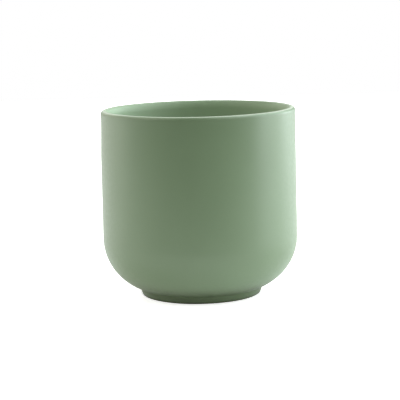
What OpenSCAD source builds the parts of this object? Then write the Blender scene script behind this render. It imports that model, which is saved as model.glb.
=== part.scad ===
// Brush pot: a straight-walled, round-bottomed stoneware pot with a short splayed foot.
// A fired body and a luted foot ring carry three coats of satin glaze. Four round pads,
// sunk in pockets in the foot, keep the bare clay off the desk.
// Origin: centre of the standing plane. +Z runs up the pot's axis, out of the mouth.

/* [Pot] */
// Height from the desk to the crest of the lip
overall_h = 115.3; // [105:0.1:130]
// Outside diameter at the rim
rim_d = 120; // [116:0.5:121]
// Outside diameter low on the wall, where the bowl curve starts
belly_d = 120.9; // [120.4:0.1:122]
// Radius of the bowl curve between the wall and the underside
bowl_r = 32.9; // [32.4:0.1:33.6]
// Height of the bowl curve's centre above the desk
bowl_h = 35.8; // [35.2:0.1:36.4]
// Thickness of the wall at the rim, with both glaze coats
wall_t = 4.8; // [4.4:0.1:6]
// Radius of the lip's outer rounding
lip_r = 2.1; // [1.4:0.1:2.2]
// Radius of the broad rounding from the crest of the lip down to the bore
lip_inner_r = 10; // [6:0.5:14]
// Height of the inside floor above the desk
floor_h = 9.6; // [9.2:0.1:14]
// Radius of the curve between the inside wall and the inside floor
inner_curve_r = 24; // [21:0.5:26]

/* [Foot] */
// Diameter of the foot's glazed side, carried down to the bare land
foot_d = 74; // [73:0.1:76]
// Lean of the foot's side away from upright, in degrees
foot_lean = 19; // [12:1:26]
// Diameter of the recess inside the foot, over its glaze
recess_d = 58; // [40:0.5:60]
// Rounding of the land's bare edges
edge_r = 0.6; // [0.4:0.1:1]
// Radius of the glaze fillet in the crease above the foot
crease_r = 1.5; // [0.8:0.1:2.5]
// Radius of the glaze fillet in the corner of the recess
recess_corner_r = 1.6; // [0.5:0.1:2]
// Width of the tongue that locates the foot ring in the body
tongue_w = 4; // [2:0.5:5]
// Height of that tongue
tongue_h = 0.8; // [0.4:0.1:1.2]

/* [Glaze] */
// Thickness of every glaze coat
glaze_t = 0.4; // [0.2:0.05:0.5]
// How far round the land's edges the glaze runs, in degrees below level
glaze_wrap = 40; // [32:1:50]

/* [Desk pads] */
// Number of pads under the foot
pad_count = 4; // [3:1:6]
// Diameter of a pad and of its pocket
pad_d = 5; // [3:0.1:5.5]
// Thickness of a pad
pad_t = 1; // [0.8:0.1:1.5]
// How far a pad stands out of its pocket, which lifts the land off the desk
pad_stand = 0.3; // [0.2:0.1:0.6]

/* [Hidden] */
$fn = 180;
arc_step = 4;

// Lip: a tight outer rounding that runs smoothly into a broad inner one.
bore_r = rim_d / 2 - wall_t;
lip_c = [rim_d / 2 - lip_r, overall_h - lip_r];
lip_dx = lip_inner_r + lip_r - wall_t;
lip_dz = sqrt(pow(lip_inner_r - lip_r, 2) - lip_dx * lip_dx);
lip_inner_c = lip_c + [lip_dx, -lip_dz];
lip_join_a = atan2(lip_dz, -lip_dx);

// Bowl curve, and the angle of the straight wall that touches it and the lip.
bowl_c = [belly_d / 2 - bowl_r, bowl_h];
lip_way = lip_c - bowl_c;
wall_a = atan2(lip_way.y, lip_way.x) - acos((bowl_r - lip_r) / norm(lip_way));

// Inside: a true cylinder, a curve and a level floor.
inner_c = [bore_r - inner_curve_r, floor_h + inner_curve_r];

// Foot side: a leaning line given by its outward direction and its distance along it.
side_out = [cos(foot_lean), -sin(foot_lean)];
side_up = [sin(foot_lean), cos(foot_lean)];
side_dist = side_out * [foot_d / 2, pad_stand];

// Point at a distance off the foot side's line and at a radius from the bowl's centre.
function meet(off, r) = let (s = side_dist + off)
    s * side_out + (side_up * bowl_c - sqrt(r * r - pow(s - side_out * bowl_c, 2))) * side_up;

// Seam where the clay of the body meets the clay of the foot ring, and the crease fillet.
seam = meet(-glaze_t, bowl_r - glaze_t);
seat_z = seam.y;
crease_c = meet(crease_r, bowl_r + crease_r);
crease_a = atan2(crease_c.y - bowl_c.y, crease_c.x - bowl_c.x);
seam_a = atan2(seam.y - bowl_c.y, seam.x - bowl_c.x);

// Land: centres of the roundings at its outside and inside edges, and its middle circle.
edge_z = pad_stand + edge_r;
outer_edge_x = (side_dist - edge_r - glaze_t + sin(foot_lean) * edge_z) / cos(foot_lean);
outer_edge_c = [outer_edge_x, edge_z];
recess_r = recess_d / 2 + glaze_t;
inner_edge_c = [recess_r + edge_r, edge_z];
land_r = (outer_edge_c.x + inner_edge_c.x) / 2;
recess_corner_c = [recess_d / 2 - recess_corner_r, seat_z - glaze_t - recess_corner_r];

// Points along an arc, ends included, in even steps no longer than arc_step.
function arc(centre, r, from, to) = let (n = ceil(abs(to - from) / arc_step))
    [for (k = [0:n]) let (a = from + (to - from) * k / n) centre + r * [cos(a), sin(a)]];

function reverse(points) = [for (k = [len(points) - 1:-1:0]) points[k]];

// Each line below is drawn at a depth under the glaze surface, so coats and clay share it.
// Outside, from the crest of the lip down the wall and round the bowl to an angle.
function wall_line(depth, end_a) = concat(
    arc(lip_c, lip_r - depth, 90, wall_a),
    arc(bowl_c, bowl_r - depth, wall_a, end_a));

// Round the land's outside edge, from the foot's side to an angle below level.
function outer_edge_line(depth, end_a) =
    arc(outer_edge_c, edge_r + glaze_t - depth, -foot_lean, -end_a);

// Round the land's inside edge, from an angle below level to the upright side.
function inner_edge_line(depth, start_a) =
    arc(inner_edge_c, edge_r + glaze_t - depth, 180 + start_a, 180);

// Inside, from the crest of the lip down the bore and across the floor to the axis.
function inside_line(depth) = concat(
    arc(lip_c, lip_r - depth, 90, lip_join_a),
    arc(lip_inner_c, lip_inner_r - depth, lip_join_a, 180),
    arc(inner_c, inner_curve_r + depth, 0, -90),
    [[0, floor_h - depth]]);

// Round the tongue that stands up from the foot ring into the body, from outside to inside.
tongue_line = [
    [land_r + tongue_w / 2, seat_z],
    [land_r + tongue_w / 2, seat_z + tongue_h],
    [land_r - tongue_w / 2, seat_z + tongue_h],
    [land_r - tongue_w / 2, seat_z]];

module lathe(outline) {
    rotate_extrude()
        polygon(outline);
}

// Fired wall and floor, with the groove for the foot ring in its underside.
module clay_body() {
    color("#cfc3ae")
        lathe(concat(
            wall_line(glaze_t, seam_a),
            tongue_line,
            [[0, seat_z]],
            reverse(inside_line(glaze_t))));
}

// A disc at every pad's place, from one height to another.
module at_pads(low, high) {
    for (k = [0:pad_count - 1])
        rotate((k + 0.5) * 360 / pad_count)
            translate([land_r, 0, low])
                cylinder(d = pad_d, h = high - low);
}

// Separately made ring, luted to the body, with a bare land and a pocket for each pad.
module foot_ring() {
    color("#b9a98f")
        difference() {
            lathe(concat(
                reverse(tongue_line),
                [seam],
                outer_edge_line(glaze_t, 90),
                inner_edge_line(glaze_t, 90),
                [[recess_r, seat_z]]));
            at_pads(-1, pad_t);
        }
}

// Coat from the crest of the lip over the wall, the bowl and the side of the foot.
module outer_glaze() {
    color("#8fa98a")
        lathe(concat(
            wall_line(0, crease_a),
            arc(crease_c, crease_r, crease_a + 180, 180 - foot_lean),
            outer_edge_line(0, glaze_wrap),
            reverse(outer_edge_line(glaze_t, glaze_wrap)),
            reverse(wall_line(glaze_t, seam_a))));
}

// Coat from the crest of the lip down the bore and over the inside floor.
module inner_glaze() {
    color("#9db598")
        lathe(concat(
            inside_line(0),
            reverse(inside_line(glaze_t))));
}

// Coat over the ceiling and the side of the recess inside the foot.
module recess_glaze() {
    color("#86a081")
        lathe(concat(
            [[0, seat_z], [recess_r, seat_z]],
            reverse(inner_edge_line(glaze_t, glaze_wrap)),
            inner_edge_line(0, glaze_wrap),
            arc(recess_corner_c, recess_corner_r, 0, 90),
            [[0, seat_z - glaze_t]]));
}

// Round pads glued in the pockets, evenly spaced, with none at the front.
module desk_pads() {
    color("#2b2b29")
        at_pads(0, pad_t);
}

clay_body();
foot_ring();
outer_glaze();
inner_glaze();
recess_glaze();
desk_pads();
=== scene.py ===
"""Brush pot: a satin sage-glazed stoneware pot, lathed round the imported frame."""
import math

import bmesh
import bpy
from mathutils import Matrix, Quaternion, Vector


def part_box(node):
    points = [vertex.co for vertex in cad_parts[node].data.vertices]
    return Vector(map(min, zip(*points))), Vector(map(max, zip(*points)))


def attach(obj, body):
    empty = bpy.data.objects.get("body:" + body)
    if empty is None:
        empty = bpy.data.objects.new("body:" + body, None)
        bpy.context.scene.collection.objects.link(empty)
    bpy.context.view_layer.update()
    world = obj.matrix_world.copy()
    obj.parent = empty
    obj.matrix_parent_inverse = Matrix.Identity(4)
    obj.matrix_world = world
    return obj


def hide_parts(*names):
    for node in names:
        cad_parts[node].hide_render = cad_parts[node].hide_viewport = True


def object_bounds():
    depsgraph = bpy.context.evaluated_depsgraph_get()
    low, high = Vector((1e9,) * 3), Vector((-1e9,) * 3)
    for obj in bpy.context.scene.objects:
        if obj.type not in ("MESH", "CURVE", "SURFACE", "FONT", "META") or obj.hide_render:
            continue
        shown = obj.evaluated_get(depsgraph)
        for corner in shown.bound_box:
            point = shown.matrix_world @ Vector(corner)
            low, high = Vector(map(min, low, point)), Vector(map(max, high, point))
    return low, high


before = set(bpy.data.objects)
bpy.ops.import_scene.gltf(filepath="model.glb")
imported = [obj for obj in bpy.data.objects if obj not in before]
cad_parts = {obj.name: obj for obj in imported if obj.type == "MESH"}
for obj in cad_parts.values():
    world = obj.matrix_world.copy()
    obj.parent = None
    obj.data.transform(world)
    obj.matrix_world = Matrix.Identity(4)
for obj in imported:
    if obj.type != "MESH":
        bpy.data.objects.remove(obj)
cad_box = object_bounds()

MM = 0.001

# Driving dimensions in millimetres and degrees, the same as the design's.
OVERALL_H = cad_box[1].z / MM
RIM_R = 60.0
BELLY_R = 60.45
BOWL_R = 32.9
BOWL_H = 35.8
WALL_T = 4.8
LIP_R = 2.1
LIP_INNER_R = 10.0
FLOOR_H = 9.6
INNER_CURVE_R = 24.0
FOOT_R = 37.0
FOOT_LEAN = 19.0
RECESS_R = 29.0
EDGE_R = 0.6
CREASE_R = 1.5
RECESS_CORNER_R = 1.6
TONGUE_W = 4.0
TONGUE_H = 0.8
GLAZE_T = 0.4
GLAZE_WRAP = 40.0
PAD_COUNT = 4
PAD_R = 2.5
PAD_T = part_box("desk_pads")[1].z / MM
POCKET_R = 2.6
LAND_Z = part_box("foot_ring")[0].z / MM

# Firing faults, at the lip. It is drawn in on its left side, between the two heights below.
# It stands a little high at its left and right, and leans up to the right.
LIP_PULL = 0.5
PULL_FROM_H = 85.0
PULL_FULL_H = 108.0
LIP_LIFT = 0.2
LIP_TILT = 0.08
LIP_RIPPLE = 0.04
OUT_OF_ROUND_TWOFOLD = 0.10
OUT_OF_ROUND_THREEFOLD = 0.05

# The glaze's tone changes between two heights: below the crest, above the seam, above the land.
# Below the crest: the lip is painted paler, partly glaze breaking thin at the crest and partly painted
# highlight on the upward-facing lip.
LIP_TONE_DROP = (1.3, 0.2)
# Above the seam: the crease and foot are painted darker, partly glaze pooled there and partly painted
# shade where the bowl turns under.
POOL_AND_SHADE_RISE = (1.5, 8.0)
# Above the land: painted contact shadow where the foot meets the table.
CONTACT_SHADE_RISE = (0.2, 1.8)

# How finely the turned meshes are cut: segments round the axis, and steps along an outline in
# degrees of arc and in millimetres. Hidden faces lie between two solids.
SEGMENTS = 256
PAD_SEGMENTS = 48
FINE_ARC = 2.5
HIDDEN_ARC = 6.0
FINE_RUN = 2.0
HIDDEN_RUN = 6.0
SHARP_ANGLE = math.radians(35)


# ---------------------------------------------------------------- outline

def polar(centre, r, degrees):
    a = math.radians(degrees)
    return Vector((centre[0] + r * math.cos(a), centre[1] + r * math.sin(a)))


def arc(centre, r, start, end, step=FINE_ARC, count=None):
    """Points along an arc, ends included, in count even steps or in steps no longer than step."""
    parts = count or max(1, math.ceil(abs(end - start) / step - 1e-6))
    return [polar(centre, r, start + (end - start) * k / parts) for k in range(parts + 1)]


def dense(points, longest=FINE_RUN):
    """The same outline with its long straight runs cut up."""
    out = [points[0]]
    for p in points[1:]:
        start = out[-1]
        parts = max(1, math.ceil((p - start).length / longest - 1e-6))
        out += [start.lerp(p, k / parts) for k in range(1, parts + 1)]
    return out


lip_c = Vector((RIM_R - LIP_R, OVERALL_H - LIP_R))
bowl_c = Vector((BELLY_R - BOWL_R, BOWL_H))
lip_way = lip_c - bowl_c
wall_a = math.degrees(math.atan2(lip_way.y, lip_way.x)
                      - math.acos((BOWL_R - LIP_R) / lip_way.length))
bore_r = RIM_R - WALL_T
inner_c = Vector((bore_r - INNER_CURVE_R, FLOOR_H + INNER_CURVE_R))
lip_shift = Vector((LIP_INNER_R + LIP_R - WALL_T, 0))
lip_shift.y = -math.sqrt((LIP_INNER_R - LIP_R) ** 2 - lip_shift.x ** 2)
lip_inner_c = lip_c + lip_shift
lip_join_a = math.degrees(math.atan2(-lip_shift.y, -lip_shift.x))

lean = math.radians(FOOT_LEAN)
side_out = Vector((math.cos(lean), -math.sin(lean)))
side_up = Vector((math.sin(lean), math.cos(lean)))
side_dist = side_out.dot(Vector((FOOT_R, LAND_Z)))


def meet(off, r):
    """The point at a distance off the foot side's line and at a radius from the bowl's centre."""
    s = side_dist + off
    u = side_up.dot(bowl_c) - math.sqrt(r * r - (s - side_out.dot(bowl_c)) ** 2)
    return s * side_out + u * side_up


def angle_from(centre, point):
    return math.degrees(math.atan2(point.y - centre.y, point.x - centre.x))


seam = meet(-GLAZE_T, BOWL_R - GLAZE_T)
seat_z = seam.y
crease_c = meet(CREASE_R, BOWL_R + CREASE_R)
crease_a = angle_from(bowl_c, crease_c)
seam_a = angle_from(bowl_c, seam)

edge_z = LAND_Z + EDGE_R
outer_edge_c = Vector(((side_dist - EDGE_R - GLAZE_T + math.sin(lean) * edge_z) / math.cos(lean),
                       edge_z))
recess_clay_r = RECESS_R + GLAZE_T
inner_edge_c = Vector((recess_clay_r + EDGE_R, edge_z))
land_r = (outer_edge_c.x + inner_edge_c.x) / 2
recess_corner_c = Vector((RECESS_R - RECESS_CORNER_R, seat_z - GLAZE_T - RECESS_CORNER_R))
tongue_line = [Vector((land_r + side * TONGUE_W / 2, seat_z + up * TONGUE_H))
               for side, up in ((1, 0), (1, 1), (-1, 1), (-1, 0))]


# ---------------------------------------------------------------- lathe

def warp(angle, r, z):
    """How a fired pot strays from round: out of round and uneven at the lip, true at the foot."""
    up = max(0.0, (z - seat_z) / (OVERALL_H - seat_z))
    near_lip = min(1.0, max(0.0, (z - PULL_FROM_H) / (PULL_FULL_H - PULL_FROM_H)))
    dr = up * (OUT_OF_ROUND_TWOFOLD * math.cos(2 * angle + 0.6)
               + OUT_OF_ROUND_THREEFOLD * math.cos(3 * angle + 2.1))
    dr -= LIP_PULL * near_lip ** 2 * (3 - 2 * near_lip) * max(0.0, -math.cos(angle)) ** 2
    dz = up ** 3 * (LIP_LIFT * math.cos(angle) ** 2 + LIP_TILT * math.cos(angle)
                    + LIP_RIPPLE * math.cos(3 * angle + 1.0))
    return r + dr * r / RIM_R, z + dz


def finish_piece(name, bm, node, material):
    bmesh.ops.recalc_face_normals(bm, faces=bm.faces)
    mesh = bpy.data.meshes.new(name)
    bm.to_mesh(mesh)
    bm.free()
    mesh.shade_smooth()
    mesh.set_sharp_from_angle(angle=SHARP_ANGLE)
    mesh.materials.append(material)
    piece = bpy.data.objects.new(name, mesh)
    bpy.context.scene.collection.objects.link(piece)
    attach(piece, "root")
    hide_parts(node)
    return piece


def lathe(name, outline, node, material):
    """A closed solid turned from outline(angle), a closed line of (r, z) in millimetres."""
    bm = bmesh.new()
    rings = []
    for k in range(SEGMENTS):
        angle = 2 * math.pi * k / SEGMENTS
        ring = []
        for i, (r, z) in enumerate(outline(angle)):
            if r < 1e-6 and rings:
                ring.append(rings[0][i])
                continue
            r, z = warp(angle, r, z)
            ring.append(bm.verts.new((r * math.cos(angle) * MM, r * math.sin(angle) * MM, z * MM)))
        rings.append(ring)
    count = len(rings[0])
    for k in range(SEGMENTS):
        here, there = rings[k], rings[(k + 1) % SEGMENTS]
        for i in range(count):
            j = (i + 1) % count
            corners = []
            for v in (here[i], here[j], there[j], there[i]):
                if v not in corners:
                    corners.append(v)
            if len(corners) > 2:
                bm.faces.new(corners)
    return finish_piece(name, bm, node, material)


def glaze_line(angle):
    """How far round the standing edge the glaze runs: a sponged line is never quite level."""
    return GLAZE_WRAP + 4.0 * math.cos(3 * angle + 1.0) + 2.5 * math.cos(7 * angle + 0.3)


def rolled_end(centre, start, turn):
    """The rounded edge that a glaze coat ends in, from its face to the clay."""
    mid = polar(centre, EDGE_R + GLAZE_T / 2, start)
    return arc(mid, GLAZE_T / 2, start, start + turn, 30)


def wall_line(depth, end_a, step, run):
    return dense(arc(lip_c, LIP_R - depth, 90, wall_a, step)
                 + arc(bowl_c, BOWL_R - depth, wall_a, end_a, step), run)


def inside_line(depth, step, run):
    return dense(arc(lip_c, LIP_R - depth, 90, lip_join_a, step)
                 + arc(lip_inner_c, LIP_INNER_R - depth, lip_join_a, 180, step)[1:]
                 + arc(inner_c, INNER_CURVE_R + depth, 0, -90, step)
                 + [Vector((0, FLOOR_H - depth))], run)


def clay_body_outline(_angle):
    return (wall_line(GLAZE_T, seam_a, HIDDEN_ARC, HIDDEN_RUN) + tongue_line
            + [Vector((0, seat_z))] + inside_line(GLAZE_T, HIDDEN_ARC, HIDDEN_RUN)[:0:-1])


def foot_ring_outline(_angle):
    outer = arc(outer_edge_c, EDGE_R, -FOOT_LEAN, -90, 8)
    inner = arc(inner_edge_c, EDGE_R, 270, 180, 8)
    return dense(tongue_line[::-1] + [seam] + outer + inner + [Vector((recess_clay_r, seat_z))], 1.2)


def outer_glaze_outline(angle):
    end = -glaze_line(angle)
    face = (wall_line(0, crease_a, FINE_ARC, FINE_RUN)[:-1]
            + arc(crease_c, CREASE_R, crease_a + 180, 180 - FOOT_LEAN, 5))
    edge = arc(outer_edge_c, EDGE_R + GLAZE_T, -FOOT_LEAN, end, count=3)
    side = dense([face[-1], edge[0]], 0.8)[1:-1]
    back = arc(outer_edge_c, EDGE_R, end, -FOOT_LEAN, count=3)
    return (face + side + edge + rolled_end(outer_edge_c, end, -180)[1:-1] + back
            + wall_line(GLAZE_T, seam_a, HIDDEN_ARC, HIDDEN_RUN)[::-1])


def inner_glaze_outline(_angle):
    return (inside_line(0, FINE_ARC, FINE_RUN)
            + inside_line(GLAZE_T, HIDDEN_ARC, HIDDEN_RUN)[::-1])


def recess_glaze_outline(angle):
    end = 180 + glaze_line(angle + 1.7)
    back = dense([Vector((0, seat_z)), Vector((recess_clay_r, seat_z))], HIDDEN_RUN)
    clay_edge = arc(inner_edge_c, EDGE_R, 180, end, count=6)
    edge = arc(inner_edge_c, EDGE_R + GLAZE_T, end, 180, count=6)
    corner = arc(recess_corner_c, RECESS_CORNER_R, 0, 90, 10)
    ceiling = dense([corner[-1], Vector((0, seat_z - GLAZE_T))], FINE_RUN)[1:]
    return back + clay_edge + rolled_end(inner_edge_c, end, 180)[::-1][1:-1] + edge + corner + ceiling


def discs(outline):
    """Closed discs at the pads' places, each turned from one open line of (r, z) in millimetres."""
    bm = bmesh.new()
    turns = PAD_SEGMENTS
    for k in range(PAD_COUNT):
        a = (k + 0.5) * 2 * math.pi / PAD_COUNT
        at = Vector((land_r * math.cos(a), land_r * math.sin(a)))
        rings = [[bm.verts.new(((at.x + r * math.cos(t)) * MM, (at.y + r * math.sin(t)) * MM, z * MM))
                  for t in (2 * math.pi * j / turns for j in range(turns if r else 1))]
                 for r, z in outline]
        for low, high in zip(rings, rings[1:]):
            for j in range(turns):
                corners = []
                for v in (low[j % len(low)], low[(j + 1) % turns % len(low)],
                          high[(j + 1) % turns % len(high)], high[j % len(high)]):
                    if v not in corners:
                        corners.append(v)
                bm.faces.new(corners)
    bmesh.ops.recalc_face_normals(bm, faces=bm.faces)
    return bm


def cut_pockets(ring):
    """Sink a round pocket in the land for each pad, a hair wider than the pad."""
    below = -1.0
    bm = discs([(0, below), (POCKET_R, below), (POCKET_R, PAD_T), (0, PAD_T)])
    mesh = bpy.data.meshes.new("pockets")
    bm.to_mesh(mesh)
    bm.free()
    cutter = bpy.data.objects.new("pockets", mesh)
    bpy.context.scene.collection.objects.link(cutter)
    cut = ring.modifiers.new("pockets", "BOOLEAN")
    cut.operation = "DIFFERENCE"
    cut.solver = "EXACT"
    cut.object = cutter
    depsgraph = bpy.context.evaluated_depsgraph_get()
    whole = ring.data
    ring.data = bpy.data.meshes.new_from_object(ring.evaluated_get(depsgraph))
    ring.data.name = whole.name
    ring.modifiers.clear()
    bpy.data.objects.remove(cutter)
    bpy.data.meshes.remove(whole)
    ring.data.set_sharp_from_angle(angle=SHARP_ANGLE)


def desk_pads(material):
    """Round moulded pads with softened rims, each its own closed solid."""
    softening = 0.15
    bm = discs([(0, 0), (PAD_R - softening, 0)]
               + [tuple(p) for p in arc((PAD_R - softening, softening), softening, -60, 0, 20)]
               + [(PAD_R, PAD_T), (0, PAD_T)])
    return finish_piece("rubber_desk_pads", bm, "desk_pads", material)


# ---------------------------------------------------------------- materials

class Nodes:
    """A short way to write a material's node tree."""

    def __init__(self, name):
        self.material = bpy.data.materials.new(name)
        self.material.use_nodes = True
        self.tree = self.material.node_tree
        self.shader = self.tree.nodes["Principled BSDF"]
        self.place = self.add("ShaderNodeTexCoord").outputs["Object"]

    def add(self, kind, **settings):
        node = self.tree.nodes.new(kind)
        for key, value in settings.items():
            setattr(node, key, value)
        return node

    def link(self, source, target):
        self.tree.links.new(source, target)

    def noise(self, size_mm, detail=2.0, rough=0.5):
        """Noise whose features are about size_mm across."""
        node = self.add("ShaderNodeTexNoise")
        node.inputs["Scale"].default_value = 1 / (size_mm * MM)
        node.inputs["Detail"].default_value = detail
        node.inputs["Roughness"].default_value = rough
        self.link(self.place, node.inputs["Vector"])
        return node.outputs["Fac"]

    def ramp(self, source, low, high, out_low=0.0, out_high=1.0):
        node = self.add("ShaderNodeMapRange", interpolation_type="SMOOTHSTEP")
        for key, value in (("From Min", low), ("From Max", high),
                           ("To Min", out_low), ("To Max", out_high)):
            node.inputs[key].default_value = value
        self.link(source, node.inputs["Value"])
        return node.outputs["Result"]

    def math(self, operation, *values):
        node = self.add("ShaderNodeMath", operation=operation)
        for k, value in enumerate(values):
            if isinstance(value, (int, float)):
                node.inputs[k].default_value = value
            else:
                self.link(value, node.inputs[k])
        return node.outputs["Value"]

    def blend(self, factor, first, second):
        node = self.add("ShaderNodeMix", data_type="RGBA")
        self.link(factor, node.inputs["Factor"])
        for socket, value in ((node.inputs[6], first), (node.inputs[7], second)):
            if isinstance(value, tuple):
                socket.default_value = (*value, 1)
            else:
                self.link(value, socket)
        return node.outputs[2]

    def bump(self, height, distance_mm, strength, under=None):
        node = self.add("ShaderNodeBump")
        node.inputs["Distance"].default_value = distance_mm * MM
        node.inputs["Strength"].default_value = strength
        self.link(height, node.inputs["Height"])
        if under is not None:
            self.link(under, node.inputs["Normal"])
        return node.outputs["Normal"]


def glaze_material(name, roughness, sage, deep, pale, lip_tone_and_highlight, pool_and_shade, contact_shade):
    """Glaze, clouded and flecked: a paler tone on the lip, partly glaze breaking thin and partly painted
    highlight; darker at the crease and foot, partly pooled glaze and partly painted shade; painted
    contact shadow low on the foot.
    """
    nodes = Nodes(name)
    xyz = nodes.add("ShaderNodeSeparateXYZ")
    nodes.link(nodes.place, xyz.inputs["Vector"])
    height = xyz.outputs["Z"]
    cloud = nodes.ramp(nodes.noise(38, 2.0), 0.3, 0.7)
    colour = nodes.blend(nodes.math("MULTIPLY", cloud, 0.25), sage, deep)
    fleck = nodes.ramp(nodes.noise(0.9, 3.0, 0.6), 0.35, 0.75)
    colour = nodes.blend(nodes.math("MULTIPLY", fleck, 0.12), colour, pale)
    # Paler lip: partly thin glaze at the crest, partly painted highlight.
    lip = nodes.ramp(height, *[(OVERALL_H - drop) * MM for drop in LIP_TONE_DROP])
    colour = nodes.blend(lip, colour, lip_tone_and_highlight)
    # Pooled glaze and painted shade, darkest at the crease and on the foot.
    low = nodes.ramp(height, *[(seat_z + rise) * MM for rise in POOL_AND_SHADE_RISE], 1.0, 0.0)
    colour = nodes.blend(low, colour, pool_and_shade)
    # Painted contact shadow just above the land, where the foot meets the table.
    edge = nodes.ramp(height, *[(LAND_Z + rise) * MM for rise in CONTACT_SHADE_RISE], 1.0, 0.0)
    colour = nodes.blend(edge, colour, contact_shade)
    nodes.link(colour, nodes.shader.inputs["Base Color"])
    nodes.link(nodes.ramp(nodes.noise(2.2, 3.0), 0.3, 0.7, *roughness),
               nodes.shader.inputs["Roughness"])
    nodes.shader.inputs["Specular IOR Level"].default_value = 0.5
    nodes.shader.inputs["Coat Weight"].default_value = 0.12
    nodes.shader.inputs["Coat Roughness"].default_value = 0.3
    peel = nodes.bump(nodes.noise(1.6, 2.0), 0.008, 0.5)
    grain = nodes.bump(nodes.noise(0.25, 2.0), 0.003, 0.5, peel)
    nodes.link(grain, nodes.shader.inputs["Normal"])
    return nodes.material


def stoneware_material():
    """Bare fired stoneware: warm grey clay with fine grog and a rubbed grain."""
    nodes = Nodes("bare_stoneware")
    clay = (0.34, 0.28, 0.21)
    toasted = (0.24, 0.18, 0.125)
    grog = (0.13, 0.10, 0.075)
    colour = nodes.blend(nodes.ramp(nodes.noise(7, 3.0), 0.3, 0.7), clay, toasted)
    speck = nodes.ramp(nodes.noise(0.55, 1.0), 0.66, 0.72)
    colour = nodes.blend(nodes.math("MULTIPLY", speck, 0.7), colour, grog)
    nodes.link(colour, nodes.shader.inputs["Base Color"])
    nodes.link(nodes.ramp(nodes.noise(0.8, 3.0), 0.3, 0.7, 0.78, 0.92), nodes.shader.inputs["Roughness"])
    nodes.link(nodes.bump(nodes.noise(0.35, 4.0, 0.65), 0.05, 0.8), nodes.shader.inputs["Normal"])
    return nodes.material


def rubber_material():
    """Black moulded rubber with a fine eroded grain and a little chalky bloom."""
    nodes = Nodes("pad_rubber")
    bloom = nodes.ramp(nodes.noise(1.4, 3.0), 0.45, 0.75)
    nodes.link(nodes.blend(bloom, (0.014, 0.014, 0.013), (0.030, 0.030, 0.028)),
               nodes.shader.inputs["Base Color"])
    nodes.link(nodes.ramp(nodes.noise(0.5, 2.0), 0.3, 0.7, 0.62, 0.80), nodes.shader.inputs["Roughness"])
    nodes.link(nodes.bump(nodes.noise(0.12, 2.0), 0.02, 0.7), nodes.shader.inputs["Normal"])
    return nodes.material


def floor_material():
    """White table lit a little from within, and overexposed to the camera as studio white is."""
    nodes = Nodes("pale_floor")
    tone = nodes.ramp(nodes.noise(900, 1.0), 0.2, 0.8)
    nodes.link(nodes.blend(tone, (0.90, 0.90, 0.90), (0.92, 0.92, 0.92)),
               nodes.shader.inputs["Base Color"])
    nodes.shader.inputs["Roughness"].default_value = 0.9
    nodes.shader.inputs["Specular IOR Level"].default_value = 0.1
    glow = 0.2
    overexposure = 0.5
    seen = nodes.add("ShaderNodeLightPath").outputs["Is Camera Ray"]
    nodes.shader.inputs["Emission Color"].default_value = (1, 1, 1, 1)
    nodes.link(nodes.math("MULTIPLY_ADD", seen, overexposure, glow),
               nodes.shader.inputs["Emission Strength"])
    return nodes.material


# ---------------------------------------------------------------- studio

def floor():
    """A wide white table top that ends a little in front of the pot and further off behind it."""
    mesh = bpy.data.meshes.new("floor")
    side, front, back = 20.0, 0.30, 1.5
    mesh.from_pydata([(-side, -front, 0), (side, -front, 0), (side, back, 0), (-side, back, 0)],
                     [], [(0, 1, 2, 3)])
    mesh.materials.append(floor_material())
    plane = bpy.data.objects.new("floor", mesh)
    bpy.context.scene.collection.objects.link(plane)
    plane.location.z = cad_box[0].z


def soft_light(name, azimuth, elevation, strength, width, tint):
    """A far soft light. Azimuth 0 is the camera's side and 90 is the right."""
    lamp = bpy.data.lights.new(name, "SUN")
    lamp.energy = strength
    lamp.color = tint
    lamp.angle = math.radians(width)
    light = bpy.data.objects.new(name, lamp)
    bpy.context.scene.collection.objects.link(light)
    a, e = math.radians(azimuth), math.radians(elevation)
    toward = Vector((math.sin(a) * math.cos(e), -math.cos(a) * math.cos(e), math.sin(e)))
    light.rotation_mode = "QUATERNION"
    light.rotation_quaternion = toward.to_track_quat("Z", "Y")
    return light


def surround(strength):
    """Even light from all round, against a white backdrop."""
    world = bpy.data.worlds.new("studio")
    world.use_nodes = True
    bpy.context.scene.world = world
    tree = world.node_tree
    backdrop = tree.nodes["Background"]
    backdrop.inputs["Color"].default_value = (1, 1, 1, 1)
    light = tree.nodes.new("ShaderNodeBackground")
    light.name = "light"
    light.inputs["Strength"].default_value = strength
    choose = tree.nodes.new("ShaderNodeMixShader")
    path = tree.nodes.new("ShaderNodeLightPath")
    tree.links.new(path.outputs["Is Camera Ray"], choose.inputs["Fac"])
    tree.links.new(light.outputs["Background"], choose.inputs[1])
    tree.links.new(backdrop.outputs["Background"], choose.inputs[2])
    tree.links.new(choose.outputs["Shader"], tree.nodes["World Output"].inputs["Surface"])


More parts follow.
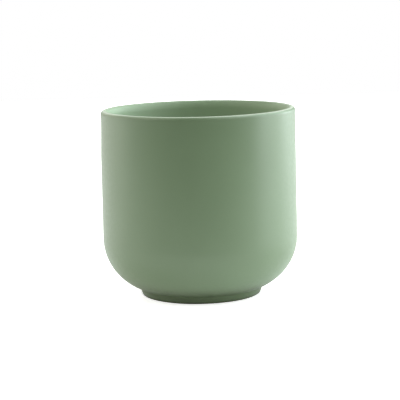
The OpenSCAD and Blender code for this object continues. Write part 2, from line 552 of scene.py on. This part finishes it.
def camera():
    """A long lens a little above the rim, held very slightly off level."""
    middle = (cad_box[0] + cad_box[1]) / 2
    aim = middle + Vector((0.27, 0, 0.34)) * MM
    away = 0.876
    pitch = math.radians(8.8)
    roll = math.radians(-1.3)
    data = bpy.data.cameras.new("camera")
    data.sensor_width = 36
    data.lens = 126.75
    data.clip_start = 0.05
    data.clip_end = 100
    cam = bpy.data.objects.new("camera", data)
    bpy.context.scene.collection.objects.link(cam)
    back = Vector((0, -math.cos(pitch), math.sin(pitch)))
    cam.location = aim + away * back
    cam.rotation_mode = "QUATERNION"
    cam.rotation_quaternion = back.to_track_quat("Z", "Y") @ Quaternion((0, 0, 1), roll)
    bpy.context.scene.camera = cam


# ---------------------------------------------------------------- the pot

camera()
# The outside is satin, and the inside drier. The inside's colours are painted nearly twice as pale as
# the outside's: painted light, standing in for light that the walls keep out of the inside.
satin = (0.40, 0.47)
matt = (0.58, 0.64)
# Colours of the painted bands: lip tone with painted highlight, pooled glaze with painted shade, and
# painted contact shadow at the foot's edge.
lip_tone_and_highlight = (0.174, 0.251, 0.143)
pool_and_shade = (0.087, 0.131, 0.059)
contact_shade = (0.050, 0.070, 0.030)
glaze = glaze_material("sage_glaze", satin, (0.139, 0.205, 0.112), (0.115, 0.173, 0.090),
                       (0.165, 0.238, 0.136), lip_tone_and_highlight, pool_and_shade, contact_shade)
# The same sage glaze inside, its colours painted paler as painted light.
inner_glaze = glaze_material("sage_glaze_inside_painted_paler", matt, (0.266, 0.367, 0.232),
                             (0.224, 0.313, 0.190), (0.288, 0.392, 0.252), lip_tone_and_highlight, pool_and_shade, contact_shade)
stoneware = stoneware_material()
rubber = rubber_material()
lathe("fired_clay_body", clay_body_outline, "clay_body", stoneware)
cut_pockets(lathe("luted_foot_ring", foot_ring_outline, "foot_ring", stoneware))
lathe("outer_glaze_coat", outer_glaze_outline, "outer_glaze", glaze)
lathe("inner_glaze_coat", inner_glaze_outline, "inner_glaze", inner_glaze)
lathe("recess_glaze_coat", recess_glaze_outline, "recess_glaze", glaze)
desk_pads(rubber)

floor()
surround(0.02)
cool = (0.92, 1.0, 1.05)
warm = (1.05, 1.0, 0.94)
plain = (1, 1, 1)
# Name, azimuth and elevation, strength, width in degrees, tint.
for light in [
    ("right_low_strip", 87, 2, 1.5, 22, cool),
    ("right_rear_low_strip", 120, 2, 1.35, 22, cool),
    ("right_rear_strip", 135, 5, 0.55, 22, cool),
    ("right_front_box", 62, 38, 1.5, 60, plain),
    ("right_mid_strip", 115, 28, 0.4, 30, cool),
    ("right_top_box", 120, 54, 2.1, 60, cool),
    ("rear_box", 180, 38, 2.2, 60, plain),
    ("left_box", -75, 38, 1.4, 60, warm),
    ("left_low_strip", -105, 5, 0.5, 22, warm),
    ("left_rear_strip", -135, 15, 0.65, 40, warm),
]:
    soft_light(*light)
bpy.context.scene.view_settings.view_transform = "Standard"
